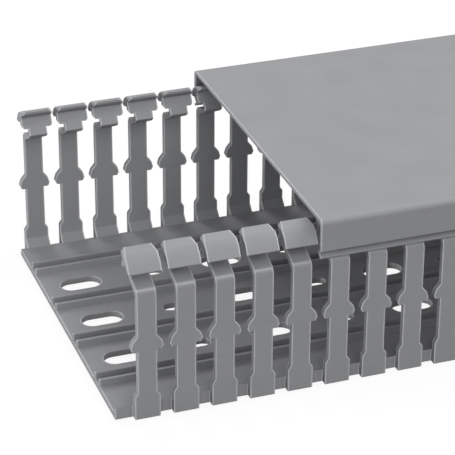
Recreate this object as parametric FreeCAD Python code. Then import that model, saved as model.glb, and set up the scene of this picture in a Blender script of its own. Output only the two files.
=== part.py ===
import FreeCAD, Part
import math
import os

# Slotted wire duct: an open channel with fingers along both sides and a clip-on cover.
# Millimetres. X runs along the duct, Y across it, Z up. The origin is on the underside of
# the channel, midway along it and midway across it.

# Channel section
DUCT_LENGTH = 500.0
DUCT_WIDTH = 118.0
WALL = 1.9
FLOOR = 2.0
FOOT_RADIUS = 2.6
FOOT_FACETS = 1

# Hooked head of a finger: depths inward from the wall's outer face, drops below the crest
CREST_HEIGHT = 56.0
CREST_DEPTH = 8.6
BROW_EDGE = 0.9
CREASE_DEPTH = 6.6
CREASE_DROP = 2.8
NECK_TOP = 1.7
LIP_DEPTH = 0.9
LIP_THICKNESS = 2.0
LIP_DROP = 5.7
CAP_BULGE = 1.5
CAP_FACETS = 3
CAP_FOOT_DROP = 6.1
NOSE_DEPTH = 9.8
NOSE_DROP = 8.3
BEND_DROP = 11.25
BEND_ROUND = 1.2
HEAD_SHEET = 1.5

# Floor ribs, each a pair of lips with a groove between them
RIB_ROWS = 4
RIB_SPACING = 25.0
LIP_PAIR = 4.6
LIP_WIDTH = 1.1
LIP_RISE = 2.5

# Fingers
PITCH = 12.5
FIRST_SLOT = 3.65
FAR_SLOT_SHIFT = -3.3
SLOT_AT_FOOT = 4.3
SLOT_NARROW = 6.3
SLOT_AT_TAB = 2.0
SLOT_AT_CAP = 2.0
HEAD_CORNER = 1.1
LIP_CORNER = 0.6
CORNER_FACETS = 1
FOOT_TOP = 7.7
STEP_RISE = 1.5
TAB_FOOT = 24.0
TAB_TIP_RISE = 1.2
TAB_TIP_ROUND = 0.6
TAB_TOP = 29.2
TAB_FACETS = 2
PUNCH_OVERCUT = 0.3
FAR_PUNCH_OVERCUT = 2.4

# Mounting slots in the floor: large ones for screws, small ones between them
HOLE_START = 13.0
HOLE_SPACING = 50.0
HOLE_ROWS = 3
ROW_SPACING = 25.0
HOLE_LENGTH = 14.0
HOLE_WIDTH = 7.6
PILOT_LENGTH = 8.0
PILOT_WIDTH = 4.6
PILOT_FACETS = 4

# Cover: its skirts are measured down from the crest of the heads they grip
COVER_LENGTH = 500.0
COVER_SHIFT = 65.5
COVER_SHEET = 1.2
COVER_RISE = 2.9
COVER_FIT = 0.3
COVER_CORNER = 1.8
SKIRT_DROP = 7.8
DETENT_DEPTH = 2.0
DETENT_DROP = 8.9
BEAD_DROP = 10.5
BEAD_OUT = 0.2

# Worked out from the sizes above
HALF_WIDTH = DUCT_WIDTH / 2
LEFT_END = -DUCT_LENGTH / 2
FINGERS = int(DUCT_LENGTH // PITCH)
CUT_MARGIN = 1.0
CLOSED_WITHIN = 0.001
BEND_HEIGHT = CREST_HEIGHT - BEND_DROP
SPLIT_HEIGHT = BEND_HEIGHT - 3 * WALL
COVER_TOP = CREST_HEIGHT + COVER_RISE
SKIRT_OUT = COVER_SHEET + COVER_FIT - LIP_DEPTH


def vec(x, y, z):
    return FreeCAD.Vector(x, y, z)


def wire_through(path):
    """Closed wire from a start point and steps: a point for a line, a pair for an arc."""
    edges = []
    here = path[0]
    for step in path[1:]:
        if isinstance(step, tuple):
            middle, end = step
            edges.append(Part.Arc(here, middle, end).toShape())
            here = end
        else:
            edges.append(Part.makeLine(here, step))
            here = step
    if not here.isEqual(path[0], CLOSED_WITHIN):
        edges.append(Part.makeLine(here, path[0]))
    return Part.Wire(edges)


def prism(path, direction):
    return Part.Face(wire_through(path)).extrude(direction)


def bulged(start, end, bulge, facets):
    """Points of a parabola from start to end in the YZ plane, raised beside its chord."""
    along = end - start
    side = vec(0, -along.z, along.y)
    side.normalize()
    points = []
    for number in range(facets + 1):
        t = number / facets
        points.append(start + along * t + side * (4 * bulge * t * (1 - t)))
    return points


def half_round(centre_x, radius, first_angle, facets):
    """Points of a half circle in the XY plane, counter-clockwise from the first angle."""
    points = []
    for number in range(facets + 1):
        angle = math.radians(first_angle + 180 * number / facets)
        points.append(vec(centre_x + radius * math.cos(angle), radius * math.sin(angle), 0))
    return points


def corner_arc(corner, before, after, radius):
    """Ends and middle of the round that replaces a right-angled corner."""
    start = corner + before * radius
    end = corner + after * radius
    centre = start + after * radius
    outward = corner - centre
    outward.normalize()
    return start, (centre + outward * radius, end)


def wall_point(depth, height):
    """Point in the section of the near wall, at a depth inward from its outer face."""
    return vec(0, depth - HALF_WIDTH, height)


def wall_section():
    """Closed path of the near wall: foot, upright, ledge, nose, neck and curved cap."""
    sheet = HEAD_SHEET
    nose_height = CREST_HEIGHT - NOSE_DROP
    lip_height = CREST_HEIGHT - LIP_DROP
    crease_height = CREST_HEIGHT - CREASE_DROP
    ledge_reach = NOSE_DEPTH - sheet
    ledge_rise = nose_height - BEND_HEIGHT
    crest = wall_point(CREST_DEPTH, CREST_HEIGHT)
    lip = wall_point(LIP_DEPTH, lip_height)
    return [
        wall_point(0, 0),
        wall_point(WALL, 0),
        wall_point(WALL, BEND_HEIGHT - WALL),
        wall_point(ledge_reach, nose_height - sheet),
        wall_point(NOSE_DEPTH, nose_height),
        wall_point(CREASE_DEPTH, crease_height),
        wall_point(CREST_DEPTH, CREST_HEIGHT - BROW_EDGE),
        *bulged(crest, lip, -CAP_BULGE, CAP_FACETS),
        wall_point(LIP_DEPTH + LIP_THICKNESS, lip_height),
        wall_point(CREASE_DEPTH - NECK_TOP, crease_height - NECK_TOP / 2),
        wall_point(ledge_reach, nose_height),
        wall_point(BEND_ROUND, BEND_HEIGHT + ledge_rise * BEND_ROUND / ledge_reach),
        wall_point(0, BEND_HEIGHT - BEND_ROUND),
    ]


def floor_section():
    """Closed path of the floor with its paired lips, between the two walls."""
    far = HALF_WIDTH - WALL
    path = [vec(0, -far, 0), vec(0, far, 0), vec(0, far, FLOOR)]
    for row in reversed(range(RIB_ROWS)):
        rib = (row - (RIB_ROWS - 1) / 2) * RIB_SPACING
        for lip in (rib + LIP_PAIR / 2, rib - LIP_PAIR / 2):
            for y, z in ((0.5, 0), (0.5, LIP_RISE), (-0.5, LIP_RISE), (-0.5, 0)):
                path.append(vec(0, lip + y * LIP_WIDTH, FLOOR + z))
    path.append(vec(0, -far, FLOOR))
    return path


def foot_fillet():
    """Hollow round in the corner between floor and near wall."""
    corner = wall_point(WALL, FLOOR)
    on_floor = corner + vec(0, FOOT_RADIUS, 0)
    on_wall = corner + vec(0, 0, FOOT_RADIUS)
    hollow = FOOT_RADIUS * (1 - math.sqrt(0.5))
    return [corner] + bulged(on_floor, on_wall, hollow, FOOT_FACETS)


def mirrored(shape):
    return shape.mirror(vec(0, 0, 0), vec(0, 1, 0))


def solid_channel():
    """The extruded channel before its walls and floor are punched."""
    along = vec(DUCT_LENGTH, 0, 0)
    wall = prism(wall_section(), along)
    foot = prism(foot_fillet(), along)
    floor = prism(floor_section(), along)
    body = floor.fuse([wall, foot, mirrored(wall), mirrored(foot)]).removeSplitter()
    body.translate(vec(LEFT_END, 0, 0))
    return body


def tab_side():
    """Points up the side of a tab: its foot, rounded tip and shoulder, to the upright."""
    narrow = SLOT_NARROW / 2
    reach = narrow - SLOT_AT_TAB / 2
    tip = TAB_FOOT + TAB_TIP_RISE
    points = [vec(narrow, 0, TAB_FOOT), vec(narrow - reach + TAB_TIP_ROUND, 0, TAB_FOOT)]
    for number in range(TAB_FACETS + 1):
        t = number / TAB_FACETS
        points.append(vec(narrow - reach * (1 - t * t), 0, tip + (TAB_TOP - tip) * t))
    return points


def slot_side():
    """Right edge of the slot between two fingers, from its foot up to the bend."""
    foot = SLOT_AT_FOOT / 2
    narrow = SLOT_NARROW / 2
    return [
        vec(foot, 0, -CUT_MARGIN),
        vec(foot, 0, FOOT_TOP),
        vec(narrow, 0, FOOT_TOP + STEP_RISE),
        *tab_side(),
        vec(narrow, 0, SPLIT_HEIGHT),
    ]


def head_side():
    """Right edge of the gap between two heads, from below the bend up past the caps."""
    narrow = SLOT_NARROW / 2
    cap = SLOT_AT_CAP / 2
    cap_foot = CREST_HEIGHT - CAP_FOOT_DROP
    points = [
        vec(narrow, 0, SPLIT_HEIGHT),
        vec(narrow, 0, cap_foot),
        vec(cap + LIP_CORNER, 0, cap_foot),
        vec(cap, 0, cap_foot + LIP_CORNER),
    ]
    for number in range(CORNER_FACETS + 1):
        angle = math.pi / 2 * number / CORNER_FACETS
        out = HEAD_CORNER * (1 - math.cos(angle))
        drop = HEAD_CORNER * (1 - math.sin(angle))
        points.append(vec(cap + out, 0, CREST_HEIGHT - drop))
    points.append(vec(cap + HEAD_CORNER, 0, CREST_HEIGHT + CAP_BULGE))
    return points


def slot_tool(side, depth, middle):
    """Tool with one right edge and its mirror image, reaching inward from the wall."""
    left = [vec(-point.x, point.y, point.z) for point in reversed(side)]
    tool = prism(side + left, vec(0, depth + CUT_MARGIN, 0))
    tool.translate(vec(middle, -HALF_WIDTH - CUT_MARGIN, 0))
    return tool


def end_trim(bottom, top, depth):
    """Tool that opens the first slot to the sawn end."""
    tool = Part.makeBox(CUT_MARGIN + FIRST_SLOT, depth + CUT_MARGIN, top - bottom)
    tool.translate(vec(LEFT_END - CUT_MARGIN, -HALF_WIDTH - CUT_MARGIN, bottom))
    return tool


def screw_slot():
    """Outline of a large floor slot, with its length along the duct."""
    radius = HOLE_WIDTH / 2
    reach = HOLE_LENGTH / 2 - radius
    return [
        vec(-reach, -radius, 0),
        vec(reach, -radius, 0),
        (vec(reach + radius, 0, 0), vec(reach, radius, 0)),
        vec(-reach, radius, 0),
        (vec(-reach - radius, 0, 0), vec(-reach, -radius, 0)),
    ]


def pilot_slot():
    """Outline of a small floor slot, its round ends in short straight stretches."""
    radius = PILOT_WIDTH / 2
    reach = PILOT_LENGTH / 2 - radius
    right = half_round(reach, radius, -90, PILOT_FACETS)
    left = half_round(-reach, radius, 90, PILOT_FACETS)
    return right + left


def floor_tool(outline, x, y):
    tool = prism(outline, vec(0, 0, FLOOR + 2 * CUT_MARGIN))
    tool.translate(vec(x, y, -CUT_MARGIN))
    return tool


def finger_gaps(overcut):
    """Tools for all slots of the near wall, the first one open at the sawn end."""
    punch_depth = WALL + overcut
    head_depth = NOSE_DEPTH + CUT_MARGIN
    tools = [
        end_trim(-CUT_MARGIN, SPLIT_HEIGHT, punch_depth),
        end_trim(SPLIT_HEIGHT, CREST_HEIGHT + CAP_BULGE, head_depth),
    ]
    for number in range(FINGERS + 1):
        middle = LEFT_END + FIRST_SLOT + number * PITCH
        tools.append(slot_tool(slot_side(), punch_depth, middle))
        tools.append(slot_tool(head_side(), head_depth, middle))
    return tools


def floor_holes():
    tools = []
    columns = int(DUCT_LENGTH // HOLE_SPACING)
    for column in range(columns):
        x = LEFT_END + HOLE_START + column * HOLE_SPACING
        for row in range(HOLE_ROWS):
            y = (row - (HOLE_ROWS - 1) / 2) * ROW_SPACING
            tools.append(floor_tool(screw_slot(), x, y))
            tools.append(floor_tool(pilot_slot(), x + HOLE_SPACING / 2, y))
    return tools


def duct_channel():
    near = finger_gaps(PUNCH_OVERCUT)
    far = [mirrored(tool) for tool in finger_gaps(FAR_PUNCH_OVERCUT)]
    for tool in far:
        tool.translate(vec(FAR_SLOT_SHIFT, 0, 0))
    return solid_channel().cut(near + far + floor_holes()).removeSplitter()


def cover_side():
    """Open path down the near side of the cover and back up, outer face first."""
    sheet = COVER_SHEET
    out = -SKIRT_OUT
    bead = BEAD_OUT - SKIRT_OUT
    skirt_foot = CREST_HEIGHT - SKIRT_DROP
    detent = CREST_HEIGHT - DETENT_DROP
    bead_foot = CREST_HEIGHT - BEAD_DROP
    start, rounded = corner_arc(wall_point(out, COVER_TOP), vec(0, 1, 0), vec(0, 0, -1),
                                COVER_CORNER)
    inner_round = COVER_CORNER - sheet
    inner = wall_point(out + sheet, COVER_TOP - sheet)
    inner_start, inner_arc = corner_arc(inner, vec(0, 0, -1), vec(0, 1, 0), inner_round)
    bead_lowest = wall_point(bead + 0.35 * sheet, bead_foot)
    bead_inside = wall_point(bead + sheet, bead_foot + 0.3 * sheet)
    return [
        start,
        rounded,
        wall_point(out, skirt_foot),
        wall_point(out + DETENT_DEPTH, detent),
        wall_point(bead, bead_foot + 0.5 * sheet),
        (bead_lowest, bead_inside),
        wall_point(out + DETENT_DEPTH + sheet, detent),
        wall_point(out + sheet, skirt_foot + 0.6 * sheet),
        inner_start,
        inner_arc,
    ]


def across(point):
    return vec(point.x, -point.y, point.z)


def cover():
    near = cover_side()
    far = []
    following = None
    for step in reversed(near):
        end = step[1] if isinstance(step, tuple) else step
        if isinstance(following, tuple):
            far.append((across(following[0]), across(end)))
        else:
            far.append(across(end))
        following = step
    body = prism(near + far, vec(COVER_LENGTH, 0, 0))
    body.translate(vec(LEFT_END + COVER_SHIFT, 0, 0))
    return body


def save(name, shape):
    shape.exportStep(os.path.join("parts", name + ".step"))


os.makedirs("parts", exist_ok=True)
save("duct_channel", duct_channel())
save("cover", cover())
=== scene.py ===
import math

import bpy
from mathutils import Matrix, Vector

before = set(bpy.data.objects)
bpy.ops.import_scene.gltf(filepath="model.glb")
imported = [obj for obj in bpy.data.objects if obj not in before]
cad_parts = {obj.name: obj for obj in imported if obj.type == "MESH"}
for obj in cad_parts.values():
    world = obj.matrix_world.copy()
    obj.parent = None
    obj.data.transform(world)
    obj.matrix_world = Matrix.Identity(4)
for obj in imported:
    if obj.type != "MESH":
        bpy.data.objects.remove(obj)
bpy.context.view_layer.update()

MM = 0.001

# Camera, from the photograph's perspective
IMAGE_SIZE = 455
FOCAL_PIXELS = 2222.9
CAMERA_PLACE = Vector((-412.1, -608.3, 372.5)) * MM
CAMERA_AZIMUTH = math.radians(19.78)
CAMERA_ELEVATION = math.radians(28.03)
CAMERA_ROLL = math.radians(0.29)
SENSOR_WIDTH = 36.0
CLIP_NEAR = 0.05
CLIP_FAR = 20.0

# Line of the fingers' outer bend, in the channel's own coordinates, and the strength of the
# painted highlight along it
BEND_HEIGHT = 44.75 * MM
BEND_LINE_HALF = 0.5 * MM
BEND_OUTSIDE = 57.3 * MM
BEND_HIGHLIGHT = 0.5

# Rounds on the sharp edges of the two pieces, and the least angle of a sharp edge
CHANNEL_ROUND = 0.1 * MM
COVER_ROUND = 0.08 * MM
ROUND_STEPS = 2
SHARP_ANGLE = math.radians(40)

# Radius at which edges catch the light
EDGE_SOFTNESS = 0.4 * MM
EDGE_SAMPLES = 8

# Painted highlight on the punched edges: its reach, the turns of the normal that start and
# complete it, its strength
HIGHLIGHT_REACH = 0.8 * MM
TURN_LEAST = 0.08
TURN_MOST = 0.35
EDGE_HIGHLIGHT = 0.9

# Points closer than this are joined, and faces flatter than this are merged
WELD_REACH = 0.002 * MM
FLAT_ANGLE = math.radians(1.0)

# Large faces keep their shading up to their edges. Areas this close count as equal
AREA_WEIGHT = 100
LIKE_AREAS = 5 * MM * MM

# Grey plastic: tint, linear lightness and its spread, painted edge highlights against the
# rest, gloss
COOL_TINT = (0.985, 1.0, 1.04)
CHANNEL_GREY = 0.235
COVER_GREY = 0.225
GREY_SPREAD = 0.05
HIGHLIGHT_GAIN = 2.2
ROUGHEST = 0.66
SMOOTHEST = 0.56
GLOSS = 0.3

# Texture: cycles per metre, the streaks' along and across the duct, and the bumps
NOISE_LOW = 0.3
NOISE_HIGH = 0.7
STREAK_SCALE = (12.0, 900.0, 900.0)
STREAK_SHARE = 0.45
MOTTLE_SCALE = 70.0
GRAIN_SCALE = 5200.0
GRAIN_DEPTH = 0.06 * MM
GRAIN_STRENGTH = 0.10
STREAK_DEPTH = 0.08 * MM
STREAK_STRENGTH = 0.05

# Lamps: name, place, size and power, all aimed at one point
LAMP_TARGET = Vector((-0.1, 0.0, 0.03))
LAMPS = (
    ("from_right", (1.4, 0.3, 1.35), 1.3, 42.0),
    ("from_front", (-0.8, -1.85, 0.5), 1.4, 15.0),
    ("from_above_front", (0.0, -1.3, 1.4), 1.0, 12.0),
    ("from_behind", (-0.4, 1.5, 1.4), 0.5, 9.0),
    ("from_left", (-1.8, 0.0, 0.3), 0.8, 20.0),
)

# Surroundings: the floor's place and size, how white it is seen, and what it throws back
FLOOR_LEVEL = -0.4 * MM
FLOOR_HALF = 4.0
FLOOR_WHITE_SHARE = 0.9
FLOOR_SEEN = 0.9
FLOOR_BOUNCE = 0.2
WORLD_LIGHT = 0.38


def new_material(name):
    """A new node material, its tree and its shader."""
    material = bpy.data.materials.new(name)
    material.use_nodes = True
    tree = material.node_tree
    shader = tree.nodes["Principled BSDF"]
    return material, tree, shader


def add(tree, kind, **values):
    """A node with its properties and, by input name, its socket values."""
    node = tree.nodes.new(kind)
    for name, value in values.items():
        if name in node.inputs:
            node.inputs[name].default_value = value
        else:
            setattr(node, name, value)
    return node


def ramp(tree, source, stops):
    """A colour ramp fed by a socket, with stops as pairs of place and colour."""
    node = tree.nodes.new("ShaderNodeValToRGB")
    elements = node.color_ramp.elements
    while len(elements) < len(stops):
        elements.new(0.5)
    for element, (place, colour) in zip(elements, stops):
        element.position = place
        element.color = (*colour, 1.0)
    tree.links.new(source, node.inputs["Fac"])
    return node


def grey(level):
    """A slightly bluish grey of a given linear lightness."""
    return tuple(level * share for share in COOL_TINT)


def plastic(name, level, has_bends):
    """Extruded rigid plastic: faint flow streaks, mottling, painted highlights on the punched
    edges and the outer bend, fine grain.
    """
    material, tree, shader = new_material(name)
    link = tree.links.new
    place = add(tree, "ShaderNodeTexCoord")
    stretched = add(tree, "ShaderNodeMapping")
    stretched.inputs["Scale"].default_value = STREAK_SCALE
    link(place.outputs["Object"], stretched.inputs["Vector"])
    streaks = add(tree, "ShaderNodeTexNoise", Scale=1.0, Detail=3.0)
    link(stretched.outputs["Vector"], streaks.inputs["Vector"])
    mottle = add(tree, "ShaderNodeTexNoise", Scale=MOTTLE_SCALE, Detail=5.0)
    link(place.outputs["Object"], mottle.inputs["Vector"])
    grain = add(tree, "ShaderNodeTexNoise", Scale=GRAIN_SCALE, Detail=2.0)
    link(place.outputs["Object"], grain.inputs["Vector"])
    tone = add(tree, "ShaderNodeMix", data_type="FLOAT")
    tone.inputs["Factor"].default_value = STREAK_SHARE
    link(mottle.outputs["Fac"], tone.inputs["A"])
    link(streaks.outputs["Fac"], tone.inputs["B"])
    body = ramp(tree, tone.outputs["Result"], [(NOISE_LOW, grey(level * (1 - GREY_SPREAD))),
                                               (NOISE_HIGH, grey(level * (1 + GREY_SPREAD)))])
    edge = edge_highlight_mask(tree)
    if has_bends:
        both = add(tree, "ShaderNodeMath", operation="MAXIMUM")
        link(edge, both.inputs[0])
        link(bend_highlight_mask(tree), both.inputs[1])
        edge = both.outputs["Value"]
    # painted highlight: the masked edges and bend are painted paler grey
    highlighted = add(tree, "ShaderNodeMix", data_type="RGBA")
    link(edge, highlighted.inputs["Factor"])
    link(body.outputs["Color"], highlighted.inputs["A"])
    highlighted.inputs["B"].default_value = (*grey(level * HIGHLIGHT_GAIN), 1.0)
    link(highlighted.outputs["Result"], shader.inputs["Base Color"])
    rough = ramp(tree, mottle.outputs["Fac"], [(NOISE_LOW, (SMOOTHEST,) * 3),
                                               (NOISE_HIGH, (ROUGHEST,) * 3)])
    link(rough.outputs["Color"], shader.inputs["Roughness"])
    bump = add(tree, "ShaderNodeBump", Strength=GRAIN_STRENGTH, Distance=GRAIN_DEPTH)
    link(grain.outputs["Fac"], bump.inputs["Height"])
    softened = add(tree, "ShaderNodeBevel", samples=EDGE_SAMPLES, Radius=EDGE_SOFTNESS)
    link(softened.outputs["Normal"], bump.inputs["Normal"])
    flow = add(tree, "ShaderNodeBump", Strength=STREAK_STRENGTH, Distance=STREAK_DEPTH)
    link(streaks.outputs["Fac"], flow.inputs["Height"])
    link(bump.outputs["Normal"], flow.inputs["Normal"])
    link(flow.outputs["Normal"], shader.inputs["Normal"])
    shader.inputs["Specular IOR Level"].default_value = GLOSS
    return material


def edge_highlight_mask(tree):
    """A mask for the painted highlight on the punched and sawn edges, where the rounded normal
    turns to or from X.
    """
    link = tree.links.new
    rounded = add(tree, "ShaderNodeBevel", samples=EDGE_SAMPLES, Radius=HIGHLIGHT_REACH)
    flat = add(tree, "ShaderNodeNewGeometry")
    leans = []
    for source in (rounded, flat):
        parts = add(tree, "ShaderNodeSeparateXYZ")
        link(source.outputs["Normal"], parts.inputs["Vector"])
        lean = add(tree, "ShaderNodeMath", operation="ABSOLUTE")
        link(parts.outputs["X"], lean.inputs[0])
        leans.append(lean)
    change = add(tree, "ShaderNodeMath", operation="SUBTRACT")
    link(leans[0].outputs["Value"], change.inputs[0])
    link(leans[1].outputs["Value"], change.inputs[1])
    size = add(tree, "ShaderNodeMath", operation="ABSOLUTE")
    link(change.outputs["Value"], size.inputs[0])
    # strength of the painted edge highlight
    mask = add(tree, "ShaderNodeMapRange")
    mask.inputs["From Min"].default_value = TURN_LEAST
    mask.inputs["From Max"].default_value = TURN_MOST
    mask.inputs["To Max"].default_value = EDGE_HIGHLIGHT
    link(size.outputs["Value"], mask.inputs["Value"])
    return mask.outputs["Result"]


def bend_highlight_mask(tree):
    """A mask of the painted highlight along the fingers' outer bend, just below their heads.
    """
    link = tree.links.new
    place = add(tree, "ShaderNodeTexCoord")
    parts = add(tree, "ShaderNodeSeparateXYZ")
    link(place.outputs["Object"], parts.inputs["Vector"])
    above = add(tree, "ShaderNodeMath", operation="SUBTRACT")
    link(parts.outputs["Z"], above.inputs[0])
    above.inputs[1].default_value = BEND_HEIGHT
    away = add(tree, "ShaderNodeMath", operation="ABSOLUTE")
    link(above.outputs["Value"], away.inputs[0])
    # painted highlight: paler band at the bend's height
    near = add(tree, "ShaderNodeMapRange")
    near.inputs["From Max"].default_value = BEND_LINE_HALF
    near.inputs["To Min"].default_value = BEND_HIGHLIGHT
    near.inputs["To Max"].default_value = 0.0
    link(away.outputs["Value"], near.inputs["Value"])
    side = add(tree, "ShaderNodeMath", operation="ABSOLUTE")
    link(parts.outputs["Y"], side.inputs[0])
    outside = add(tree, "ShaderNodeMath", operation="GREATER_THAN")
    link(side.outputs["Value"], outside.inputs[0])
    outside.inputs[1].default_value = BEND_OUTSIDE
    line = add(tree, "ShaderNodeMath", operation="MULTIPLY")
    link(near.outputs["Result"], line.inputs[0])
    link(outside.outputs["Value"], line.inputs[1])
    return line.outputs["Value"]


def soften(node, width):
    """Small rounds on a CAD node's sharp edges, and even shading over its curved stretches."""
    for face in node.data.polygons:
        face.use_smooth = True
    weld = node.modifiers.new("weld", "WELD")
    weld.merge_threshold = WELD_REACH
    flat = node.modifiers.new("flat", "DECIMATE")
    flat.decimate_type = "DISSOLVE"
    flat.angle_limit = FLAT_ANGLE
    bevel = node.modifiers.new("rounds", "BEVEL")
    bevel.width = width
    bevel.segments = ROUND_STEPS
    bevel.limit_method = "ANGLE"
    bevel.angle_limit = SHARP_ANGLE
    bevel.use_clamp_overlap = True
    shading = node.modifiers.new("shading", "WEIGHTED_NORMAL")
    shading.mode = "FACE_AREA"
    shading.weight = AREA_WEIGHT
    shading.thresh = LIKE_AREAS


def pale_floor():
    """White floor that shows as white to the camera and keeps a soft shadow."""
    material, tree, shader = new_material("floor_white")
    link = tree.links.new
    shader.inputs["Roughness"].default_value = 0.9
    glow = add(tree, "ShaderNodeEmission", Color=(1.0, 1.0, 1.0, 1.0), Strength=1.0)
    path = add(tree, "ShaderNodeLightPath")
    seen = add(tree, "ShaderNodeMath", operation="MAXIMUM")
    link(path.outputs["Is Camera Ray"], seen.inputs[0])
    link(path.outputs["Is Glossy Ray"], seen.inputs[1])
    tone = add(tree, "ShaderNodeMapRange")
    tone.inputs["To Min"].default_value = FLOOR_BOUNCE
    tone.inputs["To Max"].default_value = FLOOR_SEEN
    link(seen.outputs["Value"], tone.inputs["Value"])
    link(tone.outputs["Result"], shader.inputs["Base Color"])
    share = add(tree, "ShaderNodeMath", operation="MULTIPLY")
    link(seen.outputs["Value"], share.inputs[0])
    share.inputs[1].default_value = FLOOR_WHITE_SHARE
    mix = add(tree, "ShaderNodeMixShader")
    link(share.outputs["Value"], mix.inputs["Fac"])
    link(shader.outputs["BSDF"], mix.inputs[1])
    link(glow.outputs["Emission"], mix.inputs[2])
    link(mix.outputs["Shader"], tree.nodes["Material Output"].inputs["Surface"])
    bpy.ops.mesh.primitive_plane_add(size=2 * FLOOR_HALF, location=(0, 0, FLOOR_LEVEL))
    floor = bpy.context.object
    floor.name = "studio_floor"
    floor.data.materials.append(material)


def studio_world():
    """White surroundings for the camera and reflections, a plain even light for the rest."""
    world = bpy.data.worlds.new("studio")
    bpy.context.scene.world = world
    world.use_nodes = True
    tree = world.node_tree
    link = tree.links.new
    path = add(tree, "ShaderNodeLightPath")
    seen = add(tree, "ShaderNodeMath", operation="MAXIMUM")
    link(path.outputs["Is Camera Ray"], seen.inputs[0])
    link(path.outputs["Is Transmission Ray"], seen.inputs[1])
    strength = add(tree, "ShaderNodeMapRange")
    strength.inputs["To Min"].default_value = WORLD_LIGHT
    strength.inputs["To Max"].default_value = 1.0
    link(seen.outputs["Value"], strength.inputs["Value"])
    backdrop = tree.nodes["Background"]
    backdrop.inputs["Color"].default_value = (1.0, 1.0, 1.0, 1.0)
    link(strength.outputs["Result"], backdrop.inputs["Strength"])


def studio_lamps():
    """Soft square lamps around the duct."""
    for name, place, size, power in LAMPS:
        data = bpy.data.lights.new(name, "AREA")
        data.size = size
        data.energy = power
        lamp = bpy.data.objects.new(name, data)
        bpy.context.scene.collection.objects.link(lamp)
        lamp.location = place
        lamp.rotation_euler = (LAMP_TARGET - Vector(place)).to_track_quat("-Z", "Y").to_euler()


def photo_camera():
    """Camera at the photograph's place, direction, roll and focal length."""
    flat = math.cos(CAMERA_ELEVATION)
    forward = Vector((math.sin(CAMERA_AZIMUTH) * flat, math.cos(CAMERA_AZIMUTH) * flat,
                      -math.sin(CAMERA_ELEVATION)))
    level = Vector((math.cos(CAMERA_AZIMUTH), -math.sin(CAMERA_AZIMUTH), 0.0))
    upright = level.cross(forward)
    right = level * math.cos(CAMERA_ROLL) + upright * math.sin(CAMERA_ROLL)
    up = upright * math.cos(CAMERA_ROLL) - level * math.sin(CAMERA_ROLL)
    data = bpy.data.cameras.new("camera")
    data.sensor_width = SENSOR_WIDTH
    data.lens = FOCAL_PIXELS / IMAGE_SIZE * SENSOR_WIDTH
    data.clip_start = CLIP_NEAR
    data.clip_end = CLIP_FAR
    camera = bpy.data.objects.new("camera", data)
    bpy.context.scene.collection.objects.link(camera)
    turn = Matrix((right, up, -forward)).transposed()
    camera.matrix_world = Matrix.Translation(CAMERA_PLACE) @ turn.to_4x4()
    bpy.context.scene.camera = camera


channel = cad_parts["duct_channel"]
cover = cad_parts["cover"]
channel.data.materials.clear()
channel.data.materials.append(plastic("channel_grey", CHANNEL_GREY, True))
cover.data.materials.clear()
cover.data.materials.append(plastic("cover_grey", COVER_GREY, False))
soften(channel, CHANNEL_ROUND)
soften(cover, COVER_ROUND)
pale_floor()
studio_world()
studio_lamps()
photo_camera()
bpy.context.scene.view_settings.view_transform = "Standard"
